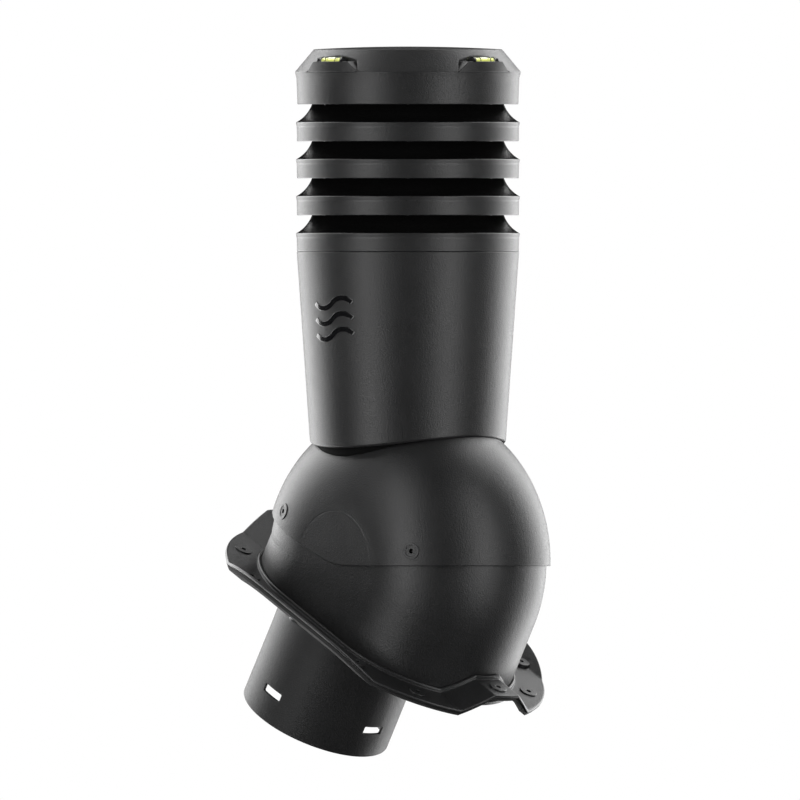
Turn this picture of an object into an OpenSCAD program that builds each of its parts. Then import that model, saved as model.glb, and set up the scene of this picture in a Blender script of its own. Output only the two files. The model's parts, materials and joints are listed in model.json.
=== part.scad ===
// Roof vent chimney for a trapezoid-profile metal roof: a moulded skirt, a barrel-backed neck, a dome that
// tilts on it so that the tube stands upright at any pitch, and a louvred head with two bubble levels.
// Millimetres. The origin is where the neck's axis meets the roof sheet. +X points down the slope,
// horizontally, +Y runs along the eaves and +Z is up. The tube stands upright, and the skirt lies on the
// roof's pitch.

/* [Roof and skirt] */
// Pitch of the roof that the tube stands upright on, degrees
roof_pitch = 30; // [20:1:34]
// Height of the pivot axis over the roof sheet
pivot_h = 72; // [66:1:90]
// Radius of the skirt's round ends
skirt_r = 132.7; // [128:0.1:160]
// Thickness of the skirt
skirt_t = 3.3; // [2.5:0.1:5]
// Width of the sheet rib's flat top, with the skirt on it
rib_top_w = 32.8; // [20:0.1:40]
// Width of the sheet rib at its foot
rib_base_w = 90.4; // [70:0.1:100]
// Height of the rib
rib_h = 20.6; // [15:0.1:25]
// Distance between the two folds where the skirt's wings start to rise
wing_fold_w = 228.8; // [222:0.1:240]
// Slope of the wings, degrees
wing_slope = 36.5; // [20:0.5:45]
// Thickness of the foam seal under the skirt
seal_t = 3.7; // [2.5:0.1:6]
// Width of the foam seal
seal_w = 9; // [5:0.5:10]
// How far the foam seal stands back from the skirt's edge
seal_inset = 2; // [1:0.5:6]
// Height of the lip around the neck
lip_h = 3.5; // [2:0.1:6]
// Width of the lip around the neck
lip_w = 3; // [2:0.1:5]

/* [Roof screws] */
// Radius of the ring of bosses about each round end
boss_ring_r = 116.8; // [112:0.1:118]
// Radius of a boss
boss_r = 8.6; // [6:0.1:10]
// Height of a boss over the skirt
boss_h = 1.4; // [1:0.1:3]
// Further height of a boss that stands on a wing's fold
fold_boss_h = 2; // [1:0.1:4]
// Radius of a screw hole
roof_hole_r = 2.4; // [2:0.1:3.5]

/* [Neck and barrel] */
// Radius of the barrel's round section
ball_r = 98; // [94:0.5:102]
// Radius of the flat cheek at each end of the barrel
cheek_r = 50; // [40:0.5:60]
// Wall of the barrel and neck
ball_wall = 3; // [2.5:0.1:4]
// How much shorter the neck and skirt are at their end towards the ridge, where the dome's edge sinks past
neck_inset = 5.5; // [5:0.1:6]
// Width of the foot that clips under the skirt
foot_w = 6; // [4:0.5:10]
// Thickness of that foot
foot_t = 3; // [2:0.1:3.5]
// Lean of the barrel's mouth towards the ridge, degrees
mouth_lean = 9; // [5:0.5:12]
// Distance of the mouth's plane from the pivot axis
mouth_h = 78.4; // [76:0.1:84]

/* [Dome] */
// Gap between the barrel and the dome
dome_gap = 0.8; // [0.5:0.1:1.5]
// Wall of the dome
dome_wall = 3; // [2.5:0.1:4]
// How far the dome's level edge lies under the pivot axis
edge_drop = 4.8; // [2:0.1:8]
// Rise of the dome's edge on the side of the ridge, degrees
edge_rise = 25; // [20:1:30]
// Radius of the bend between the two straight stretches of the edge
edge_bend_r = 90; // [40:1:120]
// Inner radius of the dome's upstand, which the tube slips over
upstand_r = 85; // [84:0.1:87]
// Wall of the upstand
upstand_wall = 3.5; // [2.5:0.1:4.5]
// How far the upstand goes on above the ledge inside it
upstand_lip = 1.52; // [1:0.01:8]
// Radius of a locking screw's pad
pad_r = 8; // [6:0.1:10]
// Radius of a locking screw's hole
pad_hole_r = 2.2; // [1.5:0.1:3]

/* [Pivot] */
// Radius of the pivot pins
pin_r = 8; // [6:0.1:10]
// Radial clearance of a turning fit
turn_fit = 0.05; // [0.02:0.01:0.1]
// Wall around a pivot pin, in the cheek's boss and the arm's eye
pin_wall = 6; // [4:0.5:8]
// Thickness of the yoke's arms
arm_t = 6; // [4:0.5:7]
// Width of the yoke's arms
arm_w = 20; // [14:1:22]
// Height of the yoke's ring
yoke_ring_h = 17; // [10:1:18]
// Thickness of the friction washers
washer_t = 2; // [1:0.1:3]
// Thickness of the push-on clips
clip_t = 1.8; // [1:0.1:3]

/* [Tube] */
// Outer radius of the tube at its top
tube_r = 106.9; // [105:0.1:112]
// Outer radius of the tube at the level of its lower edge
tube_low_r = 93.77; // [92.5:0.01:95]
// Height of the tube's top over the pivot axis
tube_top = 297.4; // [280:0.1:380]
// Wall of the tube
tube_wall = 3; // [2.5:0.1:4]
// Height of the tube's lower edge over the pivot axis, at the sides that face along the eaves
tube_low = 108.7; // [106:0.1:112]
// How much higher that edge is at the sides that face up and down the slope
tube_edge_rise = 10.3; // [8:0.1:14]
// Depth of the recess for the air symbol
symbol_t = 1.2; // [0.8:0.1:1.5]

/* [Duct] */
// Outer radius of the inner duct
duct_r = 75; // [70:0.5:75.5]
// Wall of the inner duct
duct_wall = 2.5; // [1.5:0.1:3]
// Radius of the spigot where the building's duct slips over it
spigot_r = 74; // [60:0.5:76]
// Length of that stretch of the spigot
spigot_pin_l = 80; // [60:1:100]
// How much wider the spigot is at its top
spigot_flare = 1.6; // [0:0.1:2]
// Length of the spigot under the roof sheet
spigot_l = 122; // [100:1:250]
// Wall of the spigot
spigot_wall = 3; // [2:0.1:4]
// Offset of the spigot's axis from the neck's, towards the ridge
spigot_off = 33; // [25:0.5:36]
// Height of the slots' middle over the spigot's end
slot_h = 29; // [15:1:40]
// Width of a slot
slot_w = 23.5; // [15:0.5:30]
// Height of a slot
slot_t = 7.5; // [4:0.5:10]

/* [Louvre head] */
// Outer radius of the collar and rings at their top lip
ring_r = 107.8; // [106:0.1:112]
// Height of the collar
collar_h = 17.5; // [14:0.1:24]
// Height of a ring
ring_h = 18; // [15:0.1:24]
// Gap between two rings
ring_gap = 17.55; // [15:0.05:19]
// Wall of the collar and rings
ring_wall = 3.6; // [2.5:0.1:4]
// How much narrower a ring is at its lower edge
ring_draft = 1.1; // [0:0.1:2]
// Radius of the hollow flare that rises from each lip
flare_r = 32; // [31:0.5:34]
// Wall of the flare
flare_t = 2.4; // [1.5:0.1:3]
// Radius of the circle that the tie rods stand on
rod_ring_r = 86; // [85.5:0.1:86.5]
// Radius of a tie rod
rod_r = 2.5; // [1.5:0.1:3]
// Depth that the collar's skirt reaches into the tube
plug_depth = 15; // [10:1:25]
// Number of bars in the insect cage
cage_bars = 36; // [18:2:60]

/* [Cap] */
// Radius of the cap's lower edge
cap_low_r = 106.3; // [105:0.1:110]
// Radius of the cap's widest edge
cap_rim_r = 108.8; // [107:0.1:112]
// Height of that edge over the lower one
cap_rim_h = 30.9; // [26:0.1:50]
// Height of the bevel
cap_bevel_h = 21.9; // [18:0.1:26]
// Radius of the cap's flat top
cap_top_r = 90.5; // [86:0.1:94]
// Crown of the top
cap_crown = 2.7; // [1:0.1:5]
// Wall of the cap
cap_wall = 3; // [2:0.1:4]

/* [Bubble levels] */
// Radius of a vial
vial_r = 4.2; // [3:0.1:4.5]
// Length of a vial with its plugs
vial_l = 30; // [24:1:34]
// Height of a level's platform over the cap's widest edge
platform_h = 10.3; // [8:0.1:14]
// Width of the platform's top
platform_top_w = 46; // [44:0.5:60]
// Width of the platform at the cap's edge
platform_base_w = 69; // [62:0.5:76]

/* [Hidden] */
$fn = 96;
slip = 0.2;        // clearance between moulded pieces that are put together and stay together
eps = 0.5;         // how far a cut runs past the face that it opens
far = 400;         // longer than the whole part

// Skirt: heights over the roof sheet, in the roof's frame
valley_top = seal_t + skirt_t;
ends = [neck_inset - cheek_r, cheek_r];      // middles of the outline's round ends
wing_rise = tan(wing_slope);

// Neck
neck_foot = seal_t - foot_t;                 // underside of the neck's foot
neck_l = pivot_h - neck_foot;
barrel_low = 44;                             // how far under the pivot axis the barrel's round back goes on
ball_in = ball_r - ball_wall;
lug_r = 6;
lug_h = 16;
lug_ring_r = ball_in - lug_r + 1;
floor_screw_r = 2;

// Pivot, outwards along the pivot axis
dome_in = ball_r + dome_gap;
dome_r = dome_in + dome_wall;
arm_in = duct_r + 1;
arm_out = arm_in + arm_t;
cheek_boss = arm_out + washer_t;             // inner face of the boss in each cheek
pin_in = arm_in - clip_t - 2.2;              // inner end of a pin
pin_out = ball_r - ball_wall / 2;            // its end in the blind bore
groove_r = pin_r - 1.2;

// Heights over the pivot axis
yoke_low = sqrt(pow(ball_r + cheek_r + 1.2, 2) - pow(duct_r, 2));   // clears the barrel's round back
yoke_top = yoke_low + yoke_ring_h;
duct_low = yoke_low + 6;
ledge_t = 2.5;
upstand_top = yoke_top + ledge_t + upstand_lip;
tube_taper = atan((tube_r - tube_low_r) / (tube_top - tube_low));
tube_ledge_t = 3;
duct_top = tube_top - 5;
collar_floor = tube_top + 2.6;
collar_floor_t = 3;
collar_top = tube_top + collar_h;
ring_pitch = ring_h + ring_gap;
cap_low = collar_top + 3 * ring_pitch + ring_gap;
cap_rim = cap_low + cap_rim_h;
cap_shoulder = cap_rim + cap_bevel_h;
plug_wall = 2.4;
rod_lug_r = 6.5;
rod_lug_t = 6;
rod_lug_top = 20;                            // over a ring's lip
cap_boss_low = cap_low + 11;
flare_a0 = 27;
flare_a1 = 75;
flare_x = ring_r + flare_r * sin(flare_a0);
flare_z = flare_r * cos(flare_a0);

// Spigot
spigot_bed = seal_t + 1.5;                   // top of the gasket
spigot_flange_t = 3;
spigot_flange_r = spigot_r + 10;
spigot_screw_r = 2;
spigot_screw_ring = spigot_r + spigot_flare + 4.6;

// Bubble levels, outwards from the tube's axis
pocket_back = cap_rim_r - 13.2;
pocket_half = 26.9;
vial_out = cap_rim_r - 6.8;
vial_z = cap_rim + platform_h + 0.3;
plug_l = 2;
holder_half = vial_l / 2 + 2.2;
holder_w = 2 * vial_r + 1;
holder_drop = vial_r + 1.2;

// A point at radius r and angle a
function polar(r, a) = [r * cos(a), r * sin(a)];
// Outer radius of the tube at height z over the pivot axis
function tube_r_at(z) = tube_r - (tube_top - z) * tan(tube_taper);
// Height of the skirt's top surface over the roof sheet, at distance y from its middle
function skirt_z(y) =
    let (a = abs(y), side = (rib_base_w - rib_top_w) / 2, rib = max(0, min(1, (rib_base_w / 2 - a) / side)))
    valley_top + rib_h * rib + max(0, a - wing_fold_w / 2) * wing_rise;
// A point of the flare's hollow face, or of its inner face with t
function flare_point(a, t = 0) = [flare_x - (flare_r + t) * sin(a), flare_z - (flare_r + t) * cos(a)];

// Frames: the roof's, the barrel's in the roof's pitch, and the hood's, which is upright
module roof_frame() { rotate([0, roof_pitch, 0]) children(); }
module barrel_frame() { roof_frame() translate([0, 0, pivot_h]) children(); }
module hood_frame() { translate([pivot_h * sin(roof_pitch), 0, pivot_h * cos(roof_pitch)]) children(); }
// Both ends of the pivot axis
module both_cheeks() { for (side = [0, 1]) mirror([0, side, 0]) children(); }
// A cylinder along +Y, from y0 to y1
module y_rod(r, y0, y1) { translate([0, y0, 0]) rotate([-90, 0, 0]) cylinder(r = r, h = y1 - y0); }
// A flat ring
module ring_plate(r_out, r_in, h) {
    difference() {
        cylinder(r = r_out, h = h);
        translate([0, 0, -eps]) cylinder(r = r_in, h = h + 2 * eps);
    }
}
// Long round outline of the neck, skirt and floor
module outline(r) {
    for (x = ends) translate([x, 0]) circle(r);
    translate([ends[0], -r]) square([ends[1] - ends[0], 2 * r]);
}
// An outline drawn out through the whole height of the skirt
module prism() { translate([0, 0, -10]) linear_extrude(80) children(); }
// Half section of the barrel: a flat cheek with a round back
module barrel_section(r) {
    translate([0, -r]) square([cheek_r, 2 * r]);
    intersection() {
        translate([cheek_r, 0]) circle(r);
        translate([cheek_r, -r]) square([r, 2 * r]);
    }
}
// Solid barrel
module barrel(r) { rotate([90, 0, 0]) rotate_extrude() barrel_section(r); }

// ---- Skirt --------------------------------------------------------------------------------------------

// Band under the skirt's profile, from drop to drop + t under its top surface
module profile_band(drop, t) {
    ys = [-skirt_r - 20, -wing_fold_w / 2, -rib_base_w / 2, -rib_top_w / 2,
        rib_top_w / 2, rib_base_w / 2, wing_fold_w / 2, skirt_r + 20];
    top = [for (y = ys) [y, skirt_z(y) - drop]];
    low = [for (i = [len(ys) - 1 : -1 : 0]) [ys[i], skirt_z(ys[i]) - drop - t]];
    translate([-far / 2, 0, 0]) rotate([90, 0, 90]) linear_extrude(far) polygon(concat(top, low));
}
// Places of the bosses: both ends of the crest, the valleys and the folds, and the two in the middle
module boss_places(angles) {
    for (end = [0, 1], a = angles, side = a == 0 ? [1] : [-1, 1])
        translate([ends[end] + (2 * end - 1) * boss_ring_r * cos(a), side * boss_ring_r * sin(a), 0])
            children();
}
module fold_boss_places() {
    boss_places([72.5]) children();
    for (side = [-1, 1]) translate([0, side * boss_ring_r, 0]) children();
}
crest_boss_top = valley_top + rib_h + boss_h;
valley_boss_top = valley_top + boss_h;
fold_boss_top = valley_boss_top + fold_boss_h;

module skirt() {
    color("#303133") roof_frame() difference() {
        union() {
            intersection() {
                profile_band(0, skirt_t);
                prism() outline(skirt_r);
            }
            intersection() {
                profile_band(-lip_h, lip_h + 1);
                prism() outline(ball_r + slip + lip_w);
            }
            intersection() {
                union() {
                    boss_places([0]) cylinder(r = boss_r, h = crest_boss_top);
                    boss_places([40]) cylinder(r = boss_r, h = valley_boss_top);
                    fold_boss_places() cylinder(r = boss_r, h = fold_boss_top);
                }
                profile_band(-far / 4, far / 4 + skirt_t);
            }
        }
        prism() outline(ball_r + slip);
        fold_boss_places() translate([0, 0, fold_boss_top]) cylinder(r = boss_r + 0.4, h = 20);
        boss_places([0, 40]) cylinder(r = roof_hole_r, h = 60);
        fold_boss_places() cylinder(r = roof_hole_r, h = 60);
    }
}
module skirt_seal() {
    color("#1a1a1a") roof_frame() intersection() {
        profile_band(skirt_t, seal_t);
        prism() difference() {
            outline(skirt_r - seal_inset);
            outline(skirt_r - seal_inset - seal_w);
        }
    }
}

// ---- Neck, barrel and floor ---------------------------------------------------------------------------

module lug_places() {
    for (side = [-1, 1]) {
        for (end = [0, 1])
            translate([ends[end] + (2 * end - 1) * lug_ring_r * cos(45), side * lug_ring_r * sin(45), 0])
                children();
        translate([30, side * lug_ring_r, 0]) children();
    }
}
// The neck with the barrel's back on it, as a solid
module neck_solid(r) {
    barrel_frame() intersection() {
        barrel(r);
        translate([-far / 2, -far / 2, -barrel_low]) cube(far);
    }
    roof_frame() translate([0, 0, neck_foot]) linear_extrude(neck_l) outline(r);
}
module barrel_neck() {
    color("#2b2c2e") difference() {
        union() {
            difference() {
                neck_solid(ball_r);
                neck_solid(ball_in);
                roof_frame() translate([0, 0, neck_foot - eps]) linear_extrude(foot_t) outline(ball_in);
            }
            roof_frame() translate([0, 0, neck_foot]) linear_extrude(foot_t) difference() {
                outline(ball_r + foot_w);
                outline(ball_r - 1);
            }
            barrel_frame() both_cheeks() y_rod(pin_r + pin_wall, cheek_boss, ball_in + 1);
            roof_frame() lug_places() translate([0, 0, seal_t]) {
                cylinder(r = lug_r, h = lug_h);
            }
        }
        barrel_frame() rotate([0, -mouth_lean, 0])
            translate([-far / 2, -far / 2, mouth_h]) cube([far, far, far / 2]);
        barrel_frame() both_cheeks() y_rod(pin_r, cheek_boss - eps, pin_out);
        roof_frame() lug_places() translate([0, 0, seal_t - eps])
            cylinder(r = floor_screw_r, h = lug_h - 2 + eps);
    }
}
module floor_plate() {
    color("#2b2c2e") roof_frame() difference() {
        translate([0, 0, neck_foot]) linear_extrude(foot_t) difference() {
            outline(ball_in - slip);
            translate([-spigot_off, 0]) circle(spigot_r + spigot_flare + slip);
        }
        lug_places() translate([0, 0, neck_foot - eps]) cylinder(r = floor_screw_r, h = foot_t + 2 * eps);
        lug_places() translate([0, 0, neck_foot - eps]) cylinder(r = 2 * floor_screw_r, h = 1.6 + eps);
        spigot_screw_places() translate([0, 0, neck_foot + 1]) cylinder(r = spigot_screw_r, h = foot_t);
    }
}
module floor_screws() {
    color("#a7a9ac") roof_frame() lug_places() translate([0, 0, neck_foot]) {
        cylinder(r = 2 * floor_screw_r - 0.1, h = 1.5);
        cylinder(r = floor_screw_r, h = foot_t + lug_h - 3);
    }
}

// ---- Spigot -------------------------------------------------------------------------------------------

module spigot_screw_places() {
    for (a = [45 : 90 : 315])
        translate([-spigot_off, 0, 0]) rotate([0, 0, a]) translate([spigot_screw_ring, 0, 0]) children();
}
module spigot_pipe() {
    pin_top = spigot_pin_l - spigot_l;
    top = spigot_bed + spigot_flange_t;
    color("#303133") roof_frame() difference() {
        translate([-spigot_off, 0, 0]) {
            translate([0, 0, -spigot_l]) cylinder(r = spigot_r, h = spigot_pin_l);
            translate([0, 0, pin_top])
                cylinder(r1 = spigot_r, r2 = spigot_r + spigot_flare, h = top - pin_top);
            translate([0, 0, spigot_bed]) cylinder(r = spigot_flange_r, h = spigot_flange_t);
        }
        translate([-spigot_off, 0, -spigot_l - eps])
            cylinder(r = spigot_r - spigot_wall, h = spigot_l + top + 2 * eps);
        for (a = [0 : 90 : 270]) translate([-spigot_off, 0, slot_h - spigot_l]) rotate([0, 0, a])
            translate([spigot_r - 15, -slot_w / 2, -slot_t / 2]) cube([30, slot_w, slot_t]);
        spigot_screw_places() cylinder(r = spigot_screw_r, h = top + eps);
    }
}
module spigot_gasket() {
    color("#1a1a1a") roof_frame() difference() {
        translate([-spigot_off, 0, seal_t])
            ring_plate(spigot_flange_r, spigot_r + spigot_flare + slip, spigot_bed - seal_t);
        spigot_screw_places() cylinder(r = spigot_screw_r, h = 20);
    }
}
module spigot_screws() {
    color("#a7a9ac") roof_frame() spigot_screw_places() {
        translate([0, 0, neck_foot + 1.2])
            cylinder(r = spigot_screw_r, h = spigot_bed + spigot_flange_t - neck_foot - 1.2);
        translate([0, 0, spigot_bed + spigot_flange_t]) cylinder(r = 1.9 * spigot_screw_r, h = 2);
    }
}

// ---- Pivot --------------------------------------------------------------------------------------------

module pivot_pins() {
    color("#8d8f92") barrel_frame() both_cheeks() difference() {
        y_rod(pin_r, pin_in, pin_out);
        difference() {
            y_rod(pin_r + 1, arm_in - clip_t - 0.2, arm_in);
            y_rod(groove_r, arm_in - clip_t - 1, arm_in + 1);
        }
    }
}
module pivot_washers() {
    color("#c9b36a") barrel_frame() both_cheeks() difference() {
        y_rod(pin_r + pin_wall - 0.5, arm_out + turn_fit, cheek_boss);
        y_rod(pin_r + turn_fit, arm_out - 1, cheek_boss + 1);
    }
}
module pivot_clips() {
    color("#8d8f92") barrel_frame() both_cheeks() difference() {
        y_rod(pin_r + 4, arm_in - clip_t - 0.1, arm_in - 0.1);
        y_rod(groove_r, arm_in - clip_t - 1, arm_in + 1);
    }
}
module tilt_yoke() {
    color("#4a4b4e") hood_frame() difference() {
        union() {
            translate([0, 0, yoke_low]) ring_plate(upstand_r - slip, duct_r + turn_fit, yoke_ring_h);
            both_cheeks() {
                translate([-arm_w / 2, arm_in, 0]) cube([arm_w, arm_t, yoke_low + 1]);
                y_rod(pin_r + pin_wall, arm_in, arm_out);
            }
        }
        both_cheeks() y_rod(pin_r + turn_fit, arm_in - 1, arm_out + 1);
    }
}

// ---- Dome ---------------------------------------------------------------------------------------------

// What is cut away under the dome's edge, seen along the pivot axis
module under_edge() {
    bend_z = -edge_drop + edge_bend_r;
    bend_x = edge_bend_r * tan(edge_rise / 2);
    bend = [for (a = [0 : edge_rise / 10 : edge_rise]) [bend_x, bend_z] + polar(edge_bend_r, -90 - a)];
    ridge = bend[len(bend) - 1] + polar(far, 180 - edge_rise);
    translate([0, far / 2, 0]) rotate([90, 0, 0]) linear_extrude(far)
        polygon(concat([[far, -far], [far, -edge_drop]], bend, [ridge, [-far, -far]]));
}
// Locking screws: angle about the pivot axis, and angle from the cheek's normal
pad_spots = [[5.7, 63.3], [147.6, 67.2]];
module pad_places() {
    both_cheeks() for (spot = pad_spots)
        rotate([0, -spot[0], 0]) translate([cheek_r, 0, 0]) rotate([0, 0, spot[1]])
            rotate([0, 90, 0]) children();
}
module dome() {
    color("#333437") hood_frame() difference() {
        union() {
            difference() {
                union() {
                    difference() {
                        barrel(dome_r);
                        barrel(dome_in);
                    }
                    pad_places() translate([0, 0, dome_in + 1]) cylinder(r = pad_r, h = dome_wall - 0.4);
                }
                under_edge();
                cylinder(r = upstand_r + 1, h = far);
            }
            intersection() {
                ring_plate(upstand_r + upstand_wall, upstand_r, upstand_top);
                difference() {
                    cylinder(r = far / 2, h = far);
                    barrel(dome_in);
                }
            }
            translate([0, 0, yoke_top]) ring_plate(upstand_r + 1, duct_r + 1, ledge_t);
        }
        pad_places() translate([0, 0, dome_in - 2]) cylinder(r = pad_hole_r, h = 10);
    }
}

// ---- Tube, duct and insulation ------------------------------------------------------------------------

// Cone along the tube, inset from its outer face, from z0 to z1
module tube_cone(inset, z0, z1) {
    translate([0, 0, z0]) cylinder(r1 = tube_r_at(z0) - inset, r2 = tube_r_at(z1) - inset, h = z1 - z0);
}
// Air symbol: three waves, seen from the side that faces along the eaves
wave_r = 18;
wave_a = 44;
wave_t = 5;
symbol_z = 233;
module wave() {
    for (side = [0, 1]) mirror([side, 0]) mirror([0, side])
        translate([wave_r * sin(wave_a), -wave_r * cos(wave_a)]) intersection() {
            difference() {
                circle(wave_r + wave_t / 2);
                circle(wave_r - wave_t / 2);
            }
            polygon([[0, 0], polar(2 * wave_r, 89 - wave_a), polar(2 * wave_r, 91 + wave_a)]);
        }
}
module symbol_prism() {
    translate([0, -80, symbol_z]) rotate([90, 0, 0]) linear_extrude(60)
        for (i = [-1 : 1]) translate([0, 15 * i]) wave();
}
module outer_tube() {
    low = tube_low - 8;
    edge_r = (pow(tube_r_at(tube_low), 2) + pow(tube_edge_rise, 2)) / (2 * tube_edge_rise);
    color("#343538") hood_frame() difference() {
        tube_cone(0, low, tube_top);
        tube_cone(tube_wall, low - 1, upstand_top);
        tube_cone(tube_wall, upstand_top + tube_ledge_t, tube_top + 1);
        cylinder(r = upstand_r, h = upstand_top + 10);
        barrel(dome_r + 0.1);
        translate([-far / 2, 0, tube_low + tube_edge_rise - edge_r]) rotate([0, 90, 0])
            cylinder(r = edge_r, h = far, $fn = 200);
        difference() {
            symbol_prism();
            tube_cone(symbol_t, low, tube_top);
        }
    }
}
module air_symbol() {
    color("#0d0d0e") hood_frame() intersection() {
        symbol_prism();
        difference() {
            tube_cone(0.25, tube_low, tube_top);
            tube_cone(symbol_t, tube_low - 1, tube_top + 1);
        }
    }
}
module inner_duct() {
    color("#5a5c60") hood_frame()
        translate([0, 0, duct_low]) ring_plate(duct_r, duct_r - duct_wall, duct_top - duct_low);
}
// Half of the insulation, on the side of +X, or of -X with side = -1
module insulation(side) {
    low = upstand_top + tube_ledge_t;
    high = tube_top - plug_depth - 3;
    hood_frame() difference() {
        tube_cone(tube_wall + slip, low, high);
        translate([0, 0, low - 1]) cylinder(r = duct_r + slip, h = high - low + 2);
        translate([side > 0 ? -far : 0, -far / 2, 0]) cube(far);
    }
}
module insulation_ridge() { color("#d8d5c8") insulation(-1); }
module insulation_eaves() { color("#d8d5c8") insulation(1); }

// ---- Louvre head --------------------------------------------------------------------------------------

module rods() { for (a = [15 : 60 : 315]) rotate([0, 0, a]) translate([rod_ring_r, 0, 0]) children(); }
// Band with a flare that rises from its lip; z = 0 is the lip
module louvre_section(h) {
    steps = 10;
    in_r = ring_r - ring_wall;
    in_a0 = asin((flare_x - in_r) / (flare_r + flare_t));
    face = [for (i = [0 : steps]) flare_point(flare_a0 + (flare_a1 - flare_a0) * i / steps)];
    back = [for (i = [0 : steps]) flare_point(flare_a1 + (in_a0 - flare_a1) * i / steps, flare_t)];
    polygon(concat([[ring_r - ring_draft, -h]], face, back, [[in_r - ring_draft / 2, -h]]));
}
module louvre(lip_z, h) {
    hood_frame() translate([0, 0, lip_z]) {
        rotate_extrude() louvre_section(h);
        intersection() {
            rods() translate([0, 0, rod_lug_top - rod_lug_t]) difference() {
                cylinder(r = rod_lug_r, h = rod_lug_t);
                translate([0, 0, -eps]) cylinder(r = rod_r + slip, h = rod_lug_t + 2 * eps);
            }
            cylinder(r = flare_x - (flare_r + flare_t / 2) * sin(flare_a1), h = rod_lug_top + 1);
        }
    }
}
module louvre_collar() {
    skirt_low = tube_top - plug_depth;
    plug_r = tube_r - tube_wall - slip;
    color("#343538") {
        louvre(collar_top, collar_h);
        hood_frame() {
            translate([0, 0, collar_floor])
                ring_plate(ring_r - ring_wall + 0.5, duct_r + 0.5, collar_floor_t);
            difference() {
                tube_cone(tube_wall + slip, skirt_low, tube_top);
                tube_cone(tube_wall + slip + plug_wall, skirt_low - 1, tube_top + 1);
            }
            translate([0, 0, tube_top]) ring_plate(plug_r, plug_r - plug_wall, collar_floor - tube_top + 1);
        }
        hood_frame() translate([0, 0, tube_top]) ring_plate(ring_r - ring_wall, tube_r - tube_wall - 1.5, 2);
    }
}
module ring_at(i) { louvre(collar_top + (i + 1) * ring_pitch, ring_h); }
module louvre_ring_low() { color("#343538") ring_at(0); }
module louvre_ring_mid() { color("#343538") ring_at(1); }
module louvre_ring_high() { color("#343538") ring_at(2); }

module tie_rods() {
    head = collar_top + rod_lug_top - rod_lug_t;
    color("#a7a9ac") hood_frame() rods() {
        translate([0, 0, head - 3]) cylinder(r = rod_r + 2, h = 3);
        translate([0, 0, head]) cylinder(r = rod_r, h = cap_boss_low + 12 - head);
    }
}
module rod_spacers() {
    color("#2b2c2e") hood_frame() rods() for (i = [0 : 3]) {
        low = collar_top + i * ring_pitch + rod_lug_top;
        high = i == 3 ? cap_boss_low : low + ring_pitch - rod_lug_t;
        translate([0, 0, low]) ring_plate(rod_r + 2.5, rod_r + slip, high - low);
    }
}
module insect_cage() {
    low = collar_floor + collar_floor_t;
    high = cap_boss_low - 1;
    r = duct_r + 2;
    color("#1c1c1d") hood_frame() {
        for (z = [low, (low + high) / 2 - 1.5, high - 3])
            translate([0, 0, z]) ring_plate(r + 1.2, r - 1.2, 3);
        for (i = [0 : cage_bars - 1]) rotate([0, 0, 360 * i / cage_bars])
            translate([r - 0.8, -0.8, low + 1]) cube([1.6, 1.6, high - low - 2]);
    }
}

// ---- Cap ----------------------------------------------------------------------------------------------

module cap_section() {
    crown_r = (pow(cap_top_r, 2) + pow(cap_crown, 2)) / (2 * cap_crown);
    crown_a = asin(cap_top_r / crown_r);
    middle = [0, cap_shoulder + cap_crown - crown_r];
    crown = [for (i = [0 : 8]) middle + polar(crown_r, 90 - crown_a + crown_a * i / 8)];
    side = [[0, cap_low], [cap_low_r, cap_low], [cap_rim_r - 1.6, cap_rim - 5.7], [cap_rim_r, cap_rim]];
    polygon(concat(side, crown));
}
module cap_hollow() {
    in_r = cap_low_r - cap_wall;
    top = cap_shoulder - cap_wall;
    polygon([[0, cap_low - eps], [in_r, cap_low - eps], [in_r, cap_rim - cap_wall],
        [cap_top_r - cap_wall, top], [0, top]]);
}
// The sides that carry a level: it reads the slope's tilt, or with side = 1 the tilt along the eaves.
// Children are drawn with +X along the vial and +Y outwards.
module level_frame(side) { rotate([0, 0, side == 1 ? -90 : 180]) children(); }
module platform_front() {
    z0 = cap_rim;
    half = platform_base_w / 2;
    top = platform_top_w / 2;
    polygon([[-half, z0 - 4], [half, z0 - 4], [half, z0], [top, z0 + platform_h],
        [-top, z0 + platform_h], [-half, z0]]);
}
module level_pocket() {
    reach = 30;
    wide = pocket_half + reach;
    deep = pocket_back + reach;
    translate([0, 0, cap_rim + 0.5]) linear_extrude(40)
        polygon([[-pocket_half, pocket_back], [pocket_half, pocket_back], [wide, deep], [-wide, deep]]);
}
module level_platform() {
    intersection() {
        translate([0, cap_rim_r + 10, 0]) rotate([90, 0, 0])
            linear_extrude(cap_rim_r + 11 - pocket_back) platform_front();
        rotate_extrude() platform_limit();
    }
}
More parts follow.
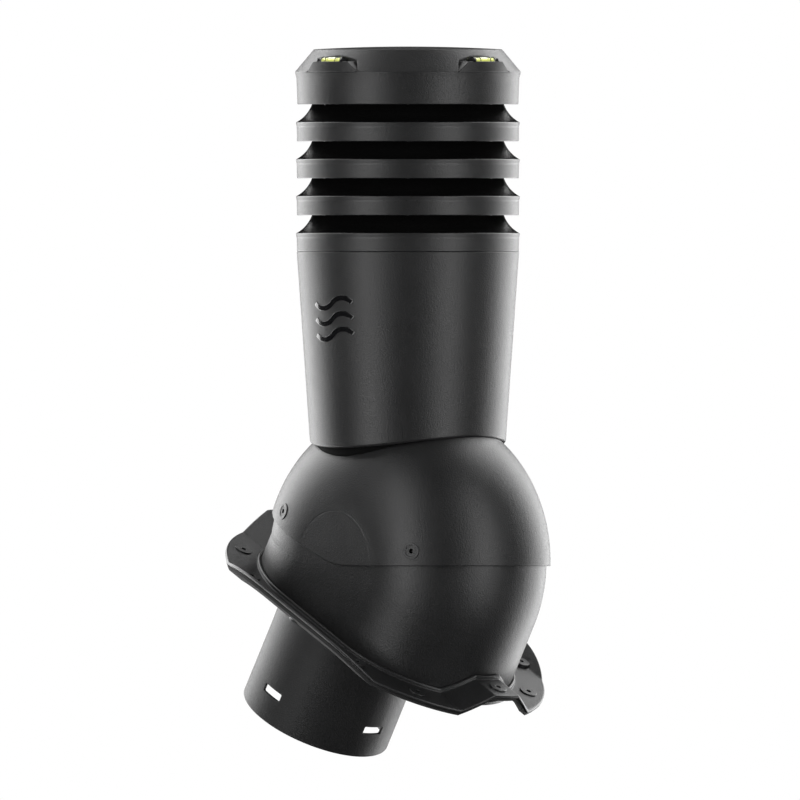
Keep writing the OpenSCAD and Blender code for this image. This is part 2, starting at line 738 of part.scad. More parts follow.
// The platforms end just inside the cap's side
module platform_limit() {
    side_r = cap_rim_r - 0.2;
    high = cap_rim + 2 * platform_h;
    polygon([[0, cap_low], [side_r - 1.6, cap_low], [side_r - 1.6, cap_rim - 5.7], [side_r, cap_rim],
        [side_r, high], [0, high]]);
}
module holder_seat(gap) {
    translate([-holder_half - gap, vial_out - holder_w / 2 - gap, vial_z - holder_drop - gap])
        cube([2 * (holder_half + gap), holder_w + 2 * gap, holder_drop + 10]);
}
module cap() {
    color("#343538") hood_frame() difference() {
        union() {
            difference() {
                union() {
                    difference() {
                        rotate_extrude() cap_section();
                        rotate_extrude() cap_hollow();
                    }
                    intersection() {
                        rotate_extrude() cap_section();
                        for (side = [0, 1]) level_frame(side)
                            translate([-45, pocket_back - cap_wall, cap_rim - cap_wall]) cube([90, 30, 18]);
                    }
                    rods() translate([0, 0, cap_boss_low])
                        cylinder(r = rod_lug_r - 0.5, h = cap_shoulder - cap_wall + 1 - cap_boss_low);
                }
                for (side = [0, 1]) level_frame(side) level_pocket();
            }
            for (side = [0, 1]) level_frame(side) level_platform();
        }
        for (side = [0, 1]) level_frame(side) holder_seat(0);
        rods() translate([0, 0, cap_boss_low - eps]) cylinder(r = rod_r, h = 14);
    }
}

// ---- Bubble levels ------------------------------------------------------------------------------------

// A cylinder along the vial, from x0 to x1
module x_rod(r, x0, x1) {
    translate([x0, vial_out, vial_z]) rotate([0, 90, 0]) cylinder(r = r, h = x1 - x0, $fn = 48);
}
module level_holder(side) {
    color("#18191a") hood_frame() level_frame(side) difference() {
        translate([-holder_half, vial_out - holder_w / 2, vial_z - holder_drop]) {
            cube([2 * holder_half, holder_w, holder_drop - 0.3]);
            for (x = [0, 2 * holder_half - 2])
                translate([x, 1, 0]) cube([2, holder_w - 2, holder_drop + 2.6]);
        }
        x_rod(vial_r + turn_fit, -vial_l / 2 - turn_fit, vial_l / 2 + turn_fit);
    }
}
module level_vial(side) {
    color("#e9f2d8", 0.4) hood_frame() level_frame(side) difference() {
        x_rod(vial_r, plug_l - vial_l / 2, vial_l / 2 - plug_l);
        x_rod(vial_r - 1, -vial_l, vial_l);
    }
}
module level_fluid(side) {
    bubble_half = 4;
    color("#c8dc2c") hood_frame() level_frame(side) difference() {
        x_rod(vial_r - 1, plug_l - vial_l / 2, vial_l / 2 - plug_l);
        translate([0, 0, 1.9]) x_rod(1.7, -bubble_half, bubble_half);
    }
}
module level_plugs(side) {
    color("#101010") hood_frame() level_frame(side) {
        x_rod(vial_r, -vial_l / 2, plug_l - vial_l / 2);
        x_rod(vial_r, vial_l / 2 - plug_l, vial_l / 2);
    }
}
module slope_level_holder() { level_holder(0); }
module slope_level_vial() { level_vial(0); }
module slope_level_fluid() { level_fluid(0); }
module slope_level_plugs() { level_plugs(0); }
module eaves_level_holder() { level_holder(1); }
module eaves_level_vial() { level_vial(1); }
module eaves_level_fluid() { level_fluid(1); }
module eaves_level_plugs() { level_plugs(1); }

skirt();
skirt_seal();
barrel_neck();
floor_plate();
floor_screws();
spigot_pipe();
spigot_gasket();
spigot_screws();
pivot_pins();
pivot_washers();
pivot_clips();
dome();
tilt_yoke();
outer_tube();
air_symbol();
inner_duct();
insulation_ridge();
insulation_eaves();
louvre_collar();
louvre_ring_low();
louvre_ring_mid();
louvre_ring_high();
tie_rods();
rod_spacers();
insect_cage();
cap();
slope_level_holder();
slope_level_vial();
slope_level_fluid();
slope_level_plugs();
eaves_level_holder();
eaves_level_vial();
eaves_level_fluid();
eaves_level_plugs();
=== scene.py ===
import json
import math

import bmesh
import bpy
import numpy as np
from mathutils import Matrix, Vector


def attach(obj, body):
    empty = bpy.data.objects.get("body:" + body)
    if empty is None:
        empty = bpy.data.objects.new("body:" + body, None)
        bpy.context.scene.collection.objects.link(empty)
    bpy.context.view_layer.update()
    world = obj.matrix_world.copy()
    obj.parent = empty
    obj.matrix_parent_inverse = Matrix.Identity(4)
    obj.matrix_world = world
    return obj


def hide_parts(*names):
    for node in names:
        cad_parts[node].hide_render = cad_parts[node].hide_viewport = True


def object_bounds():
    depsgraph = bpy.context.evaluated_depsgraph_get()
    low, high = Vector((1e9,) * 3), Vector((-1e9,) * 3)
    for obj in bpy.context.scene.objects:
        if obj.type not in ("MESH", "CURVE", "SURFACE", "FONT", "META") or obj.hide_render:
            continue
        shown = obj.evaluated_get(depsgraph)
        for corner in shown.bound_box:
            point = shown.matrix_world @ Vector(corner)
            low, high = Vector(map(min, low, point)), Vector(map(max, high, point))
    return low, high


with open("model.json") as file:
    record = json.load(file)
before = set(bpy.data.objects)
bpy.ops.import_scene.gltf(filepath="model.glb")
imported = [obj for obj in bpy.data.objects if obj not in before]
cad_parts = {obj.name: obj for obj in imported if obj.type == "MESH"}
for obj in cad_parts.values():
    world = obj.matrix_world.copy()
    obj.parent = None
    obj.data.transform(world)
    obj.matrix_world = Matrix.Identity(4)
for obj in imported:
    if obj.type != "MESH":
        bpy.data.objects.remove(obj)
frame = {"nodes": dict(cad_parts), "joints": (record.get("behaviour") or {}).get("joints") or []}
cad_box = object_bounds()


# ---- Studio --------------------------------------------------------------------------------------------
# A white room. Two tall soft boxes stand in front, one to each side, and wide panels behind the chimney
# draw its bright outline. Smaller lamps stand high up for the bevel and the dome.

pivot = Vector(frame["joints"][0]["pos_m"])
view_turn = math.radians(45)
view_right = Vector((math.cos(view_turn), math.sin(view_turn), 0))
to_camera = Vector((math.sin(view_turn), -math.cos(view_turn), 0))
centre_left, centre_up = 0.0076, 0.1548
view_centre = pivot - centre_left * view_right + Vector((0, 0, centre_up))

camera = bpy.data.objects.new("camera", bpy.data.cameras.new("camera"))
bpy.context.scene.collection.objects.link(camera)
camera.data.type = "ORTHO"
camera.data.ortho_scale = 0.769
camera_away = 2
camera.location = view_centre + camera_away * to_camera
camera.rotation_mode = "QUATERNION"
camera.rotation_quaternion = (-to_camera).to_track_quat("-Z", "Y")
bpy.context.scene.camera = camera
bpy.context.scene.view_settings.view_transform = "Standard"


def soft_box(name, turn, distance, height, width, tall, watts, tilt=0):
    """A rectangular lamp, turned round from the camera's side and aimed at the chimney."""
    lamp = bpy.data.lights.new(name, "AREA")
    lamp.shape, lamp.size, lamp.size_y, lamp.energy = "RECTANGLE", width, tall, watts
    box = bpy.data.objects.new(name, lamp)
    bpy.context.scene.collection.objects.link(box)
    side, up = math.radians(turn), math.radians(tilt)
    level = math.cos(side) * to_camera + math.sin(side) * view_right
    away = level * math.cos(up) + Vector((0, 0, math.sin(up)))
    box.location = view_centre + distance * away + Vector((0, 0, height))
    box.rotation_mode = "QUATERNION"
    box.rotation_quaternion = (-away).to_track_quat("-Z", "Y")
    box.visible_camera = False


soft_box("front_left", -43, 1.6, 0.35, 0.56, 2.6, 19.5)
soft_box("front_right", 43.5, 1.6, 0.35, 0.53, 2.6, 18.5)
soft_box("back_left", -134, 1.9, 0.1, 1.62, 2.9, 66)
soft_box("back_right", 134, 1.9, 0.1, 1.62, 2.9, 66)
soft_box("high_left", -128, 1.9, 0.0, 1.2, 1.0, 15, tilt=54)
soft_box("high_right", 128, 1.9, 0.0, 1.2, 1.0, 15, tilt=54)
soft_box("overhead", 0, 1.7, 0.2, 1.3, 1.1, 1.6, tilt=86)

room_world = bpy.data.worlds.new("room")
bpy.context.scene.world = room_world
room_world.use_nodes = True
room = room_world.node_tree
backdrop = room.nodes["Background"]
dim, white = 0.014, 1
backdrop.inputs["Color"].default_value = (dim, dim, dim, 1)
seen = room.nodes.new("ShaderNodeBackground")
seen.inputs["Color"].default_value = (white, white, white, 1)
path = room.nodes.new("ShaderNodeLightPath")
choice = room.nodes.new("ShaderNodeMixShader")
room.links.new(path.outputs["Is Camera Ray"], choice.inputs["Fac"])
room.links.new(backdrop.outputs[0], choice.inputs[1])
room.links.new(seen.outputs[0], choice.inputs[2])
room.links.new(choice.outputs[0], room.nodes["World Output"].inputs["Surface"])


# ---- Spigot and plate ----------------------------------------------------------------------------------
# A moulded pipe that takes the building's duct, with four slots for its strap, screwed on a foam gasket to
# the neck's floor plate. The plate is held by six screws in blind lugs inside the neck.


class Wire:
    """An output socket in a material's nodes. + - * on it add Math nodes, also with a plain number first."""

    def __init__(self, tree, socket=None):
        self.tree, self.socket = tree, socket

    def node(self, kind, settings=None, sockets=None, out=0):
        """Adds a node: its settings first, then its sockets' values or links."""
        made = self.tree.nodes.new("ShaderNode" + kind)
        for name, value in (settings or {}).items():
            setattr(made, name, value)
        for name, value in (sockets or {}).items():
            if isinstance(value, Wire):
                self.tree.links.new(value.socket, made.inputs[name])
            else:
                made.inputs[name].default_value = value
        return Wire(self.tree, made.outputs[out] if made.outputs else None)

    def math(self, operation, a, b):
        return self.node("Math", {"operation": operation}, {0: a, 1: b})

    def __add__(self, other):
        return self.math("ADD", self, other)

    def __radd__(self, other):
        return self.math("ADD", other, self)

    def __sub__(self, other):
        return self.math("SUBTRACT", self, other)

    def __rsub__(self, other):
        return self.math("SUBTRACT", other, self)

    def __mul__(self, other):
        return self.math("MULTIPLY", self, other)

    def __rmul__(self, other):
        return self.math("MULTIPLY", other, self)


def finish_of(name, dark, light, roughness, grain_scale=700, grain=0.8, metallic=0.0, coat=0.0,
              specular=0.5):
    """A finish between two shades: fine grain as bump and speckle, faint flow marks, and paler where the
    edge attribute is set, which is wear on rubbed edges and a painted highlight on the skirt's bead.
    """
    material = bpy.data.materials.new(name)
    material.use_nodes = True
    material.node_tree.nodes.clear()
    start = Wire(material.node_tree)
    place = start.node("TexCoord", out=3)
    fine = start.node("TexNoise", sockets={
        "Vector": place, "Scale": grain_scale, "Detail": 3, "Roughness": 0.6})
    flow = start.node("TexNoise", sockets={
        "Vector": place, "Scale": 18, "Detail": 4, "Roughness": 0.55})
    edge = start.node("Attribute", {"attribute_name": "edge"}, out=2)
    # The edge attribute pales the tone: wear on rounded edges, and a painted highlight on the skirt's bead.
    tone = start.node("Mix", {"data_type": "RGBA"}, {
        "Factor": (flow - 0.5) * 0.5 + fine * 0.35 + edge * 0.45, 6: (*dark, 1), 7: (*light, 1)}, out=2)
    bump = start.node("Bump", sockets={"Height": fine, "Strength": grain, "Distance": 0.00032})
    shine = roughness + (flow - 0.5) * 0.08 + (fine - 0.5) * 0.3 - edge * 0.08
    shader = start.node("BsdfPrincipled", sockets={
        "Base Color": tone, "Roughness": shine, "Metallic": metallic, "Normal": bump, "IOR": 1.5,
        "Coat Weight": coat, "Coat Roughness": 0.05, "Specular IOR Level": specular})
    start.node("OutputMaterial", sockets={"Surface": shader})
    return material


def dress(material, *names):
    """Gives the material to whole CAD nodes."""
    for name in names:
        mesh = frame["nodes"][name].data
        mesh.materials.clear()
        mesh.materials.append(material)


def soften(radius, *names):
    """Rounds sharp edges of CAD nodes: their triangles are joined, then each edge gets a small bevel."""
    for name in names:
        node = frame["nodes"][name]
        join = node.modifiers.new("join", "WELD")
        join.merge_threshold = 0.00002
        bevel = node.modifiers.new("rounded_edges", "BEVEL")
        bevel.width = radius
        bevel.segments = 3
        bevel.limit_method = "ANGLE"
        bevel.angle_limit = math.radians(28)
        bevel.use_clamp_overlap = False
        bevel.miter_outer = "MITER_ARC"
        shade = node.modifiers.new("flat_faces", "WEIGHTED_NORMAL")
        shade.weight = 100


black_plastic = finish_of("black_plastic", (0.0068, 0.0069, 0.0072), (0.0175, 0.0177, 0.0182), 0.41)
inner_plastic = finish_of("inner_plastic", (0.028, 0.029, 0.031), (0.06, 0.061, 0.064), 0.5)
foam_rubber = finish_of("foam_rubber", (0.007, 0.007, 0.007), (0.022, 0.022, 0.022), 0.85, 700, 0.8)
zinc_steel = finish_of("zinc_steel", (0.42, 0.43, 0.44), (0.68, 0.69, 0.70), 0.32, 2200, 0.15, 1.0)
spigot_black = finish_of("spigot_black", (0.010, 0.0101, 0.0105), (0.021, 0.0212, 0.0217), 0.5,
                         specular=0.4)

dress(spigot_black, "spigot_pipe")
dress(inner_plastic, "floor_plate")
dress(foam_rubber, "spigot_gasket")
dress(zinc_steel, "floor_screws", "spigot_screws")
soften(0.0008, "spigot_pipe")


# ---- Skirt ---------------------------------------------------------------------------------------------
# The moulded plate that follows one rib of the sheet and the valleys beside it, with a bead round the neck,
# a foam seal under its edge and twelve low bosses for roofing screws.

roof_pitch = math.radians(30)
roof_s = np.array([math.cos(roof_pitch), 0, -math.sin(roof_pitch)])
roof_w = np.array([math.sin(roof_pitch), 0, math.cos(roof_pitch)])
skirt_r, skirt_t = 132.7, 3.3
neck_r = 98.2
end_ridge, end_eaves = -44.5, 50.0
valley_top, rib_h = 7.0, 20.6
flank_y, flank_half = 30.8, 14.4
fold_y, wing_slope = 114.4, math.radians(36.5)
fold_radius = 1.2
bead_w, bead_h, bead_r = 3.0, 3.5, 1.5
boss_r, boss_h, boss_hole_r, boss_ring_r = 8.6, 1.4, 2.4, 116.8
loop_steps = 900


def on_roof(points):
    """Points in millimetres along the slope, along the eaves and off the sheet, in metres in the frame."""
    x, y, z = np.moveaxis(points, -1, 0)
    return (x[..., None] * roof_s + y[..., None] * np.array([0, 1, 0]) + z[..., None] * roof_w) / 1000


def outline(r, count):
    """Loop at distance r round the line between both end centres: an arc, a straight, an arc, a straight."""
    straight = end_eaves - end_ridge
    run = np.arange(count) / count * (2 * math.pi * skirt_r + 2 * straight)
    arc = math.pi * skirt_r
    a = np.where(run < arc, run / skirt_r - math.pi / 2, 0.0)
    a = np.where((run >= arc) & (run < arc + straight), math.pi / 2, a)
    second_arc = (run >= arc + straight) & (run < 2 * arc + straight)
    a = np.where(second_arc, (run - straight) / skirt_r - math.pi / 2, a)
    a = np.where(run >= 2 * arc + straight, 1.5 * math.pi, a)
    x = np.where(run < arc, end_eaves, end_ridge)
    x = np.where((run >= arc) & (run < arc + straight), end_eaves - (run - arc), x)
    x = np.where(run >= 2 * arc + straight, end_ridge + (run - 2 * arc - straight), x)
    return x + r * np.cos(a), r * np.sin(a)


def soft_step(x, middle, half, radius):
    """Height of a straight flank between two levels, 0 to 1 over 2 * half, with its corners rounded."""
    u = np.linspace(-1, 1, 9) * radius
    return np.mean([np.clip((x + d - middle) / (2 * half) + 0.5, 0, 1) for d in u], axis=0)


def skirt_height(y):
    """Top of the plate off the sheet: a trapezoid rib, level valleys, and wings that rise past each fold."""
    a = np.abs(y)
    rib = rib_h * (1 - soft_step(a, flank_y, flank_half, fold_radius))
    u = np.linspace(-1, 1, 9) * fold_radius
    wing = np.mean([np.maximum(a + d - fold_y, 0) for d in u], axis=0) * math.tan(wing_slope)
    return valley_top + rib + wing


def eased(depth, radius):
    """How far a surface falls back at a distance from its edge, so that the edge is a quarter round."""
    near = np.clip(radius - depth, 0, radius)
    return radius - np.sqrt(radius ** 2 - near ** 2)


def wall(outer, inner, keep, around):
    """Closed wall between two sheets of points: the kept cells of both, and a strip along every open side
    of a kept cell. around says that the columns close on themselves."""
    rows, columns = outer.shape[:2]
    number = np.arange(rows * columns).reshape(rows, columns)
    if around:
        number = np.hstack([number, number[:, :1]])
    cells = np.stack([number[:-1, :-1], number[:-1, 1:], number[1:, 1:], number[1:, :-1]], -1)
    beside = np.pad(keep, 1)
    if around:
        beside[:, 0], beside[:, -1] = beside[:, -2], beside[:, 1]
    half = rows * columns
    quads = [cells[keep], cells[keep][:, ::-1] + half]
    high, wide = keep.shape
    for down, right, p, q in ((-1, 0, 0, 1), (0, 1, 1, 2), (1, 0, 2, 3), (0, -1, 3, 0)):
        free = keep & ~beside[1 + down:1 + down + high, 1 + right:1 + right + wide]
        a, b = cells[free][:, p], cells[free][:, q]
        quads.append(np.stack([b, a, a + half, b + half], -1))
    return np.concatenate([outer.reshape(-1, 3), inner.reshape(-1, 3)]), np.concatenate(quads)


def rounded(corners, steps=4):
    """Profile through corners (r, z, radius): an arc at each that touches both of its sides, with a point
    a little before and after it so that the sides stay flat. Returns the points and 1 where an arc is."""
    spots, worn = [], []
    count = len(corners)
    for i, (r, z, radius) in enumerate(corners):
        here = np.array([r, z])
        if radius == 0:
            spots.append(here[None])
            worn.append([0.0])
            continue
        before = np.array(corners[i - 1][:2]) - here
        after = np.array(corners[(i + 1) % count][:2]) - here
        before, after = before / np.linalg.norm(before), after / np.linalg.norm(after)
        angle = math.acos(np.clip(before @ after, -1, 1))
        touch = radius / math.tan(angle / 2)
        middle = here + (before + after) / np.linalg.norm(before + after) * radius / math.sin(angle / 2)
        first, last = here + before * touch - middle, here + after * touch - middle
        sweep = math.pi - angle
        s = np.linspace(0, 1, steps + 1)[:, None]
        arc = middle + (np.sin((1 - s) * sweep) * first + np.sin(s * sweep) * last) / math.sin(sweep)
        spots.append(np.vstack([here + before * (touch + 0.3), arc, here + after * (touch + 0.3)]))
        worn.append([0.0] + [1.0] * (steps + 1) + [0.0])
    return np.vstack(spots), np.concatenate(worn)


def turned(profile, worn, steps=144):
    """Ring of a closed profile (r, z) turned about the z axis, in millimetres, with its quads and wear."""
    a = np.arange(steps) * 2 * math.pi / steps
    r, z = profile[:, :1], profile[:, 1:]
    points = np.stack([r * np.cos(a), r * np.sin(a), z + 0 * a], -1)
    number = np.arange(len(profile) * steps).reshape(len(profile), steps)
    below, beside = np.roll(number, -1, 0), np.roll(number, -1, 1)
    quads = np.stack([number, beside, np.roll(below, -1, 1), below], -1).reshape(-1, 4)
    return points.reshape(-1, 3), quads, np.repeat(worn, steps)


def piece(name, parts, material, body, slot, *nodes, second=None):
    """One object of closed parts, each (points in metres, quads, wear, which on the skirt's bead also paints
    a highlight, and optionally 1 for each quad that takes the second finish), turned face outwards, that
    rides on a body and stands for CAD nodes."""
    points, quads, wear, finish, base = [], [], [], [], 0
    for spots, sides, worn, *other in parts:
        a, b, c, d = (spots[sides[:, i]] for i in range(4))
        size = np.sum(np.cross(a, b) * c) + np.sum(np.cross(a, c) * d)
        points.append(spots)
        quads.append((sides if size > 0 else sides[:, ::-1]) + base)
        wear.append(worn)
        finish.append(other[0] if other else np.zeros(len(sides), int))
        base += len(spots)
    points, quads, wear = np.concatenate(points), np.concatenate(quads), np.concatenate(wear)
    used, number = np.unique(quads, return_inverse=True)
    mesh = bpy.data.meshes.new(name)
    mesh.from_pydata(points[used].tolist(), [], number.reshape(-1, 4).tolist())
    mesh.attributes.new("edge", "FLOAT", "POINT").data.foreach_set("value", wear[used].astype(np.float32))
    mesh.materials.append(material)
    if second:
        mesh.materials.append(second)
        mesh.polygons.foreach_set("material_index", np.concatenate(finish).astype(np.int32))
    work = bmesh.new()
    work.from_mesh(mesh)
    bmesh.ops.remove_doubles(work, verts=work.verts, dist=0.000002)
    bmesh.ops.dissolve_degenerate(work, edges=work.edges, dist=0.000001)
    work.to_mesh(mesh)
    work.free()
    mesh.shade_smooth()
    made = bpy.data.objects.new(name, mesh)
    bpy.context.scene.collection.objects.link(made)
    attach(made, body)
    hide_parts(*nodes)


boss_spots = [(x + side * boss_ring_r * math.cos(math.radians(a)),
               sign * boss_ring_r * math.sin(math.radians(a)), kind)
              for x, side in ((end_eaves, 1), (end_ridge, -1))
              for a, kind in ((0, "crest"), (40, "valley"), (72.5, "fold"))
              for sign in ((1,) if a == 0 else (-1, 1))]
boss_spots += [(0.0, side * boss_ring_r, "fold") for side in (-1, 1)]
boss_tops = {"crest": valley_top + rib_h + boss_h, "valley": valley_top + boss_h,
             "fold": valley_top + boss_h + 2}

bead_rows = np.array([0, 0.25, 0.6, 1.0, 1.5, 2.0, 2.4, 2.75, 3.0, 3.05, 3.25, 3.6])
plate_rows = np.linspace(4.5, skirt_r - neck_r - 2.2, 24)
rim_rows = skirt_r - neck_r - np.array([1.5, 1.1, 0.8, 0.5, 0.25, 0.1, 0])
skirt_rows = np.concatenate([bead_rows, plate_rows, rim_rows])
skirt_x, skirt_y = (np.array(v) for v in zip(*[outline(neck_r + d, loop_steps) for d in skirt_rows]))
skirt_z = skirt_height(skirt_y)
for spot_x, spot_y, kind in boss_spots:
    if kind == "fold":
        near = np.clip((boss_r + 1.2 - np.hypot(skirt_x - spot_x, skirt_y - spot_y)) / 0.8, 0, 1)
        levelled = np.minimum(skirt_z, skirt_z * (1 - near) + boss_tops[kind] * near)
        skirt_z = np.where(skirt_rows[:, None] > 4, levelled, skirt_z)
across = skirt_rows[:, None]
bead_arc = np.sqrt(np.clip(bead_r ** 2 - (across - bead_r) ** 2, 0, None))
bead = np.where(across <= bead_w, bead_h - bead_r + bead_arc, 0)
foot = np.where(across > bead_w, np.clip(3.6 - across, 0, 0.6) ** 2 / 0.6, 0)
rim = eased(skirt_r - neck_r - across, 1.4)
skirt_top = np.stack([skirt_x, skirt_y, skirt_z + bead + foot - rim], -1)
skirt_under = np.stack([skirt_x, skirt_y, skirt_z - skirt_t + 0 * across], -1)
# Paler tone through the edge attribute: wear on the rim's rounded edge, and a painted highlight over the
# bead.
skirt_wear_and_bead_highlight = np.broadcast_to(np.clip(rim * 1.5, 0, 1) + np.where(across <= bead_w, 0.8, 0), skirt_x.shape)
clear = np.ones((len(skirt_rows) - 1, skirt_x.shape[1]), bool)
for spot_x, spot_y, kind in boss_spots:
    far_off = np.hypot(skirt_x - spot_x, skirt_y - spot_y)
    farther = np.maximum(far_off[:-1], far_off[1:])
    clear &= np.maximum(farther, np.roll(farther, -1, 1)) > boss_r - 1.2
skirt_points, skirt_quads = wall(on_roof(skirt_top), on_roof(skirt_under), clear, True)
skirt_parts = [(skirt_points, skirt_quads, np.concatenate([skirt_wear_and_bead_highlight.ravel(), 0 * skirt_wear_and_bead_highlight.ravel()]))]
for spot_x, spot_y, kind in boss_spots:
    top = boss_tops[kind]
    low = skirt_height(abs(spot_y)) - skirt_t
    boss = rounded([(boss_hole_r, low, 0.3), (boss_r, low, 0.3),
                    (boss_r, top, 0.6), (boss_hole_r, top, 0.5)])
    ring = turned(*boss, 40)
    skirt_parts.append((on_roof(ring[0] + [spot_x, spot_y, 0]), ring[1], ring[2] * 0.7))
piece("moulded_skirt", skirt_parts, black_plastic, "base", "moulded_black", "skirt")

dress(foam_rubber, "skirt_seal")
soften(0.0007, "skirt_seal")


# ---- Neck and pivot ------------------------------------------------------------------------------------
# The barrel-backed neck is one moulding, clipped under the skirt by its foot. A steel pin in a boss in each
# cheek carries the yoke's eye between a brass washer and a push-on clip.

brass = finish_of("brass_washer", (0.45, 0.34, 0.14), (0.72, 0.58, 0.28), 0.3, 2200, 0.15, 1.0)
dress(black_plastic, "barrel_neck")
dress(zinc_steel, "pivot_pins", "pivot_clips")
dress(brass, "pivot_washers")
dress(inner_plastic, "tilt_yoke")


# ---- Dome ----------------------------------------------------------------------------------------------
# A thin moulded shell over the barrel, with a flat cheek at each end of the pivot axis, a level edge that
# rises towards the ridge, and two drilled pads each side. Its upstand, under the tube, is near-black and
# matte: painted shade for the shadowed gap between the tube's lower edge and the dome.

dome_r, dome_wall, cheek_r = 101.8, 3.0, 50.0
edge_drop, edge_rise, bend_r = 4.8, math.radians(25), 90.0
upstand_in, upstand_out, upstand_top = 85.0, 88.5, 150.0
crease_r, crease_deep, crease_half = 48.2, 0.24, 0.5
crown_low, hole_r, hole_edge_r = 60, 84.4, 86.8
pad_clear_r = 6.8


def on_hood(points):
    """Points in millimetres from the pivot axis' middle, in metres in the frame."""
    return np.asarray(points) / 1000 + np.array(pivot)


def edge_height(x):
    """The dome's edge: level, then a bend, then straight up towards the ridge."""
    start = bend_r * math.tan(edge_rise / 2)
    bend = bend_r - edge_drop - np.sqrt(np.clip(bend_r ** 2 - (x - start) ** 2, 0, None))
    straight = -edge_drop - x * math.tan(edge_rise)
    sloping = np.where(x > start - bend_r * math.sin(edge_rise), bend, straight)
    return np.where(x > start, -edge_drop, sloping)


fine_start = np.array([0, 0.0007, 0.0016, 0.0028, 0.0045, 0.007, 0.011])
dome_across = np.concatenate([fine_start, np.linspace(0.016, 0.984, 178), 1 - fine_start[::-1]])
cheek_steps = np.array([0, 0.006, 0.014, 0.022, 0.04, 0.08, 0.15, 0.25, 0.4, 0.55, 0.7, 0.82, 0.9,
                        0.94, 0.954, 0.96, 0.966, 0.972, 0.985])
section_start = np.array([0, 0.003, 0.006, 0.01, 0.018])
section = np.concatenate([section_start, np.linspace(0.035, math.pi - 0.035, 126),
                          math.pi - section_start[::-1]])

rho = cheek_r + dome_r * np.sin(section)[:, None]
turn_0 = -np.arcsin(edge_drop / rho)
turn_1 = math.pi - edge_rise + np.arcsin(edge_drop * math.cos(edge_rise) / rho)
turn = turn_0 + dome_across * (turn_1 - turn_0)
round_part = np.stack([rho * np.cos(turn), -dome_r * np.cos(section)[:, None] + 0 * turn,
                       rho * np.sin(turn)], -1)
round_out = np.stack([np.sin(section)[:, None] * np.cos(turn), -np.cos(section)[:, None] + 0 * turn,
                      np.sin(section)[:, None] * np.sin(turn)], -1)
rim_arc = round_part[0]
rim_x = rim_arc[0, 0] + dome_across * (rim_arc[-1, 0] - rim_arc[0, 0])
rim_line = np.stack([rim_x, rim_arc[:, 1], edge_height(rim_x)], -1)
cheek = rim_line + cheek_steps[:, None, None] * (rim_arc - rim_line)
cheek_out = np.zeros_like(cheek) + np.array([0, -1, 0])
flip = np.array([1, -1, 1])
dome_mid = np.concatenate([cheek, round_part, (cheek * flip)[::-1]])
dome_out = np.concatenate([cheek_out, round_out, (cheek_out * flip)[::-1]])

dome_x, dome_y, dome_z = np.moveaxis(dome_mid, -1, 0)
from_rim = (dome_z - edge_height(dome_x)) * np.where(dome_x < 0, math.cos(edge_rise), 1)
dome_ease = eased(np.clip(from_rim, 0, None), 0.7)
from_axis = np.hypot(dome_x, dome_z)
flat_side = np.abs(dome_y) > dome_r - 0.3
arc_turn = np.degrees(np.arctan2(dome_z, dome_x))
in_arc = np.clip((arc_turn - 4) / 3, 0, 1) * np.clip((153 - arc_turn) / 3, 0, 1)
crease = crease_deep * np.clip(1 - np.abs(from_axis - crease_r) / crease_half, 0, 1) * in_arc * flat_side
dome_top = dome_mid - (dome_ease + crease)[..., None] * dome_out
dome_under = dome_mid - dome_wall * dome_out


def round_hole(points, r_section):
    """Moves points that lie a little inside the upstand's circle onto it, along the dome's surface."""
    x, y, z = np.moveaxis(points, -1, 0)
    r = np.hypot(x, y)
    near = (z > crown_low) & (r > 80) & (r < hole_edge_r)
    grow = np.where(near, hole_edge_r / np.maximum(r, 1), 1)
    x, y = x * grow, y * grow
    bulge = cheek_r + np.sqrt(np.clip(r_section ** 2 - y ** 2, 0, None))
    high = np.sqrt(np.clip(bulge ** 2 - x ** 2, 0, None))
    return np.stack([x, y, np.where(near, high, z)], -1)


def of_corners(pick, grid):
    """One value for each cell of a grid: what pick, the lesser or the greater, gives of its four corners."""
    return pick(pick(grid[:-1, :-1], grid[:-1, 1:]), pick(grid[1:, :-1], grid[1:, 1:]))


in_hole = np.where(dome_z > crown_low, np.hypot(dome_x, dome_y), 999)
dome_keep = of_corners(np.minimum, in_hole) > hole_r
pad_spots = []
for about, lean in ((5.7, 63.3), (147.6, 67.2)):
    for side in (-1, 1):
        about_r, lean_r = math.radians(about), math.radians(lean)
        out = np.array([math.cos(lean_r) * math.cos(about_r), side * math.sin(lean_r),
                        math.cos(lean_r) * math.sin(about_r)])
        foot = np.array([cheek_r * math.cos(about_r), 0, cheek_r * math.sin(about_r)])
        pad_spots.append((foot, out))
for foot, out in pad_spots:
    away = np.linalg.norm(dome_mid - (foot + dome_r * out), axis=-1)
    dome_keep &= of_corners(np.maximum, away) > pad_clear_r
dome_points, dome_quads = wall(on_hood(round_hole(dome_top, dome_r)),
                               on_hood(round_hole(dome_under, dome_r - dome_wall)), dome_keep, False)
dome_wear = np.concatenate([np.clip(dome_ease * 2, 0, 1).ravel(), 0 * dome_ease.ravel()])
dome_parts = [(dome_points, dome_quads, dome_wear)]
pad = rounded([(2.2, 99.2, 0.3), (8.0, 99.2, 0.3), (8.0, 102.4, 0.35), (5.6, 102.4, 0.3),
               (5.3, 102.0, 0.3), (2.2, 102.0, 0.3)])
ring = turned(*pad, 40)
for foot, out in pad_spots:
    side = np.cross(out, [0, 0, 1.0])
    side /= np.linalg.norm(side)
    standing = np.stack([side, np.cross(out, side), out])
    dome_parts.append((on_hood(foot + ring[0] @ standing), ring[1], ring[2]))

